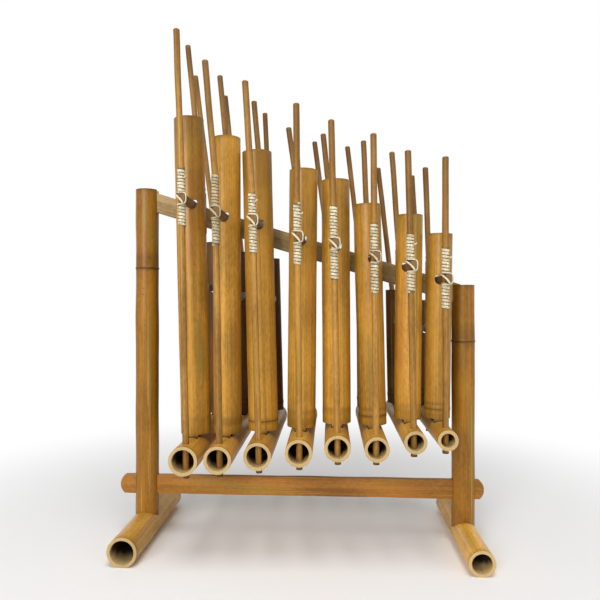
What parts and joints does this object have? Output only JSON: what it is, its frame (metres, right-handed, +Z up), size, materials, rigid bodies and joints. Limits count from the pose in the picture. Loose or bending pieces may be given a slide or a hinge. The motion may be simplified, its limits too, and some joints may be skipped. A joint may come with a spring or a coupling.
{
  "type": "angklung set on stand",
  "caption": "Hanging bamboo angklungs of falling size on a stand with a sloping notched rail; frames swing front to back and paired tone tubes rattle in slotted base tubes.",
  "frame": {"origin": "on the floor, at the middle of the whole set", "axes": "+X along the rails towards the small angklungs, +Y from the player to the back, +Z up"},
  "size_m": [0.451, 0.2308, 0.6239],
  "materials": {
    "post_bamboo": "satin aged bamboo",
    "foot_bamboo": "satin bamboo",
    "lath_bamboo": "matt split bamboo",
    "tube_bamboo": "satin golden bamboo",
    "stick_bamboo": "whittled bamboo",
    "rattan": "split rattan strip"
  },
  "bodies": {
    "stand": {"left_foot": "foot_bamboo", "right_foot": "foot_bamboo", "left_post": "post_bamboo", "right_post": "post_bamboo", "top_rail": "lath_bamboo", "bottom_rail": "lath_bamboo"},
    "frame_1": {"base_tube_1": "tube_bamboo", "uprights_1": "stick_bamboo", "hanging_bars_1": "stick_bamboo", "lashings_1": "rattan"},
    "large_tube_1": {"large_tone_tube_1": "tube_bamboo"},
    "small_tube_1": {"small_tone_tube_1": "tube_bamboo"},
    "frame_2": {"base_tube_2": "tube_bamboo", "uprights_2": "stick_bamboo", "hanging_bars_2": "stick_bamboo", "lashings_2": "rattan"},
    "large_tube_2": {"large_tone_tube_2": "tube_bamboo"},
    "small_tube_2": {"small_tone_tube_2": "tube_bamboo"},
    "frame_3": {"base_tube_3": "tube_bamboo", "uprights_3": "stick_bamboo", "hanging_bars_3": "stick_bamboo", "lashings_3": "rattan"},
    "large_tube_3": {"large_tone_tube_3": "tube_bamboo"},
    "small_tube_3": {"small_tone_tube_3": "tube_bamboo"},
    "frame_4": {"base_tube_4": "tube_bamboo", "uprights_4": "stick_bamboo", "hanging_bars_4": "stick_bamboo", "lashings_4": "rattan"},
    "large_tube_4": {"large_tone_tube_4": "tube_bamboo"},
    "small_tube_4": {"small_tone_tube_4": "tube_bamboo"},
    "frame_5": {"base_tube_5": "tube_bamboo", "uprights_5": "stick_bamboo", "hanging_bars_5": "stick_bamboo", "lashings_5": "rattan"},
    "large_tube_5": {"large_tone_tube_5": "tube_bamboo"},
    "small_tube_5": {"small_tone_tube_5": "tube_bamboo"},
    "frame_6": {"base_tube_6": "tube_bamboo", "uprights_6": "stick_bamboo", "hanging_bars_6": "stick_bamboo", "lashings_6": "rattan"},
    "large_tube_6": {"large_tone_tube_6": "tube_bamboo"},
    "small_tube_6": {"small_tone_tube_6": "tube_bamboo"},
    "frame_7": {"base_tube_7": "tube_bamboo", "uprights_7": "stick_bamboo", "hanging_bars_7": "stick_bamboo", "lashings_7": "rattan"},
    "large_tube_7": {"large_tone_tube_7": "tube_bamboo"},
    "small_tube_7": {"small_tone_tube_7": "tube_bamboo"},
    "frame_8": {"base_tube_8": "tube_bamboo", "uprights_8": "stick_bamboo", "hanging_bars_8": "stick_bamboo", "lashings_8": "rattan"},
    "large_tube_8": {"large_tone_tube_8": "tube_bamboo"},
    "small_tube_8": {"small_tone_tube_8": "tube_bamboo"}
  },
  "joints": [
    {"name": "swing_1", "type": "hinge", "parent": "stand", "child": "frame_1", "pos_m": [-0.12218, -0.00937, 0.39819], "axis": [1, 0, 0], "range_deg": [-12, 12]},
    {"name": "rattle_large_1", "type": "hinge", "parent": "frame_1", "child": "large_tube_1", "pos_m": [-0.12226, -0.06828, 0.41279], "axis": [0.9998, 0, 0.0175], "range_deg": [-1.05, 1.05]},
    {"name": "rattle_small_1", "type": "hinge", "parent": "frame_1", "child": "small_tube_1", "pos_m": [-0.12061, 0.05842, 0.31792], "axis": [0.9998, 0, 0.0175], "range_deg": [-1.61, 1.61]},
    {"name": "swing_2", "type": "hinge", "parent": "stand", "child": "frame_2", "pos_m": [-0.08491, -0.00937, 0.3833], "axis": [1, 0, 0], "range_deg": [-12, 12]},
    {"name": "rattle_large_2", "type": "hinge", "parent": "frame_2", "child": "large_tube_2", "pos_m": [-0.08499, -0.06628, 0.3979], "axis": [0.9998, 0, 0.0175], "range_deg": [-1.11, 1.11]},
    {"name": "rattle_small_2", "type": "hinge", "parent": "frame_2", "child": "small_tube_2", "pos_m": [-0.08342, 0.05618, 0.3077], "axis": [0.9998, 0, 0.0175], "range_deg": [-1.71, 1.71]},
    {"name": "swing_3", "type": "hinge", "parent": "stand", "child": "frame_3", "pos_m": [-0.04427, -0.00937, 0.37438], "axis": [1, 0, 0], "range_deg": [-12, 12]},
    {"name": "rattle_large_3", "type": "hinge", "parent": "frame_3", "child": "large_tube_3", "pos_m": [-0.0444, -0.06552, 0.38897], "axis": [0.9997, 0, 0.0262], "range_deg": [-1.17, 1.17]},
    {"name": "rattle_small_3", "type": "hinge", "parent": "frame_3", "child": "small_tube_3", "pos_m": [-0.04212, 0.05318, 0.30191], "axis": [0.9997, 0, 0.0262], "range_deg": [-1.82, 1.82]},
    {"name": "swing_4", "type": "hinge", "parent": "stand", "child": "frame_4", "pos_m": [0.0046, -0.00937, 0.35593], "axis": [1, 0, 0], "range_deg": [-12, 12]},
    {"name": "rattle_large_4", "type": "hinge", "parent": "frame_4", "child": "large_tube_4", "pos_m": [0.00456, -0.06377, 0.37053], "axis": [1, 0, 0.0087], "range_deg": [-1.29, 1.29]},
    {"name": "rattle_small_4", "type": "hinge", "parent": "frame_4", "child": "small_tube_4", "pos_m": [0.00523, 0.05067, 0.29369], "axis": [1, 0, 0.0087], "range_deg": [-1.97, 1.97]},
    {"name": "swing_5", "type": "hinge", "parent": "stand", "child": "frame_5", "pos_m": [0.04441, -0.00937, 0.34876], "axis": [1, 0, 0], "range_deg": [-12, 12]},
    {"name": "rattle_large_5", "type": "hinge", "parent": "frame_5", "child": "large_tube_5", "pos_m": [0.04433, -0.06227, 0.36336], "axis": [0.9998, 0, 0.0175], "range_deg": [-1.36, 1.36]},
    {"name": "rattle_small_5", "type": "hinge", "parent": "frame_5", "child": "small_tube_5", "pos_m": [0.0456, 0.04818, 0.29052], "axis": [0.9998, 0, 0.0175], "range_deg": [-2.08, 2.08]},
    {"name": "swing_6", "type": "hinge", "parent": "stand", "child": "frame_6", "pos_m": [0.08832, -0.00937, 0.33434], "axis": [1, 0, 0], "range_deg": [-12, 12]},
    {"name": "rattle_large_6", "type": "hinge", "parent": "frame_6", "child": "large_tube_6", "pos_m": [0.08828, -0.06078, 0.34894], "axis": [1, 0, 0.0087], "range_deg": [-1.45, 1.45]},
    {"name": "rattle_small_6", "type": "hinge", "parent": "frame_6", "child": "small_tube_6", "pos_m": [0.08891, 0.04668, 0.27639], "axis": [1, 0, 0.0087], "range_deg": [-2.3, 2.3]},
    {"name": "swing_7", "type": "hinge", "parent": "stand", "child": "frame_7", "pos_m": [0.12742, -0.00937, 0.32488], "axis": [1, 0, 0], "range_deg": [-12, 12]},
    {"name": "rattle_large_7", "type": "hinge", "parent": "frame_7", "child": "large_tube_7", "pos_m": [0.12734, -0.05928, 0.33948], "axis": [0.9998, 0, 0.0175], "range_deg": [-1.58, 1.58]},
    {"name": "rattle_small_7", "type": "hinge", "parent": "frame_7", "child": "small_tube_7", "pos_m": [0.12848, 0.04392, 0.27401], "axis": [0.9998, 0, 0.0175], "range_deg": [-2.47, 2.47]},
    {"name": "swing_8", "type": "hinge", "parent": "stand", "child": "frame_8", "pos_m": [0.165, -0.00937, 0.31039], "axis": [1, 0, 0], "range_deg": [-12, 12]},
    {"name": "rattle_large_8", "type": "hinge", "parent": "frame_8", "child": "large_tube_8", "pos_m": [0.165, -0.05702, 0.32499], "axis": [1, 0, 0], "range_deg": [-1.73, 1.73]},
    {"name": "rattle_small_8", "type": "hinge", "parent": "frame_8", "child": "small_tube_8", "pos_m": [0.165, 0.04317, 0.26419], "axis": [1, 0, 0], "range_deg": [-2.73, 2.73]}
  ]
}
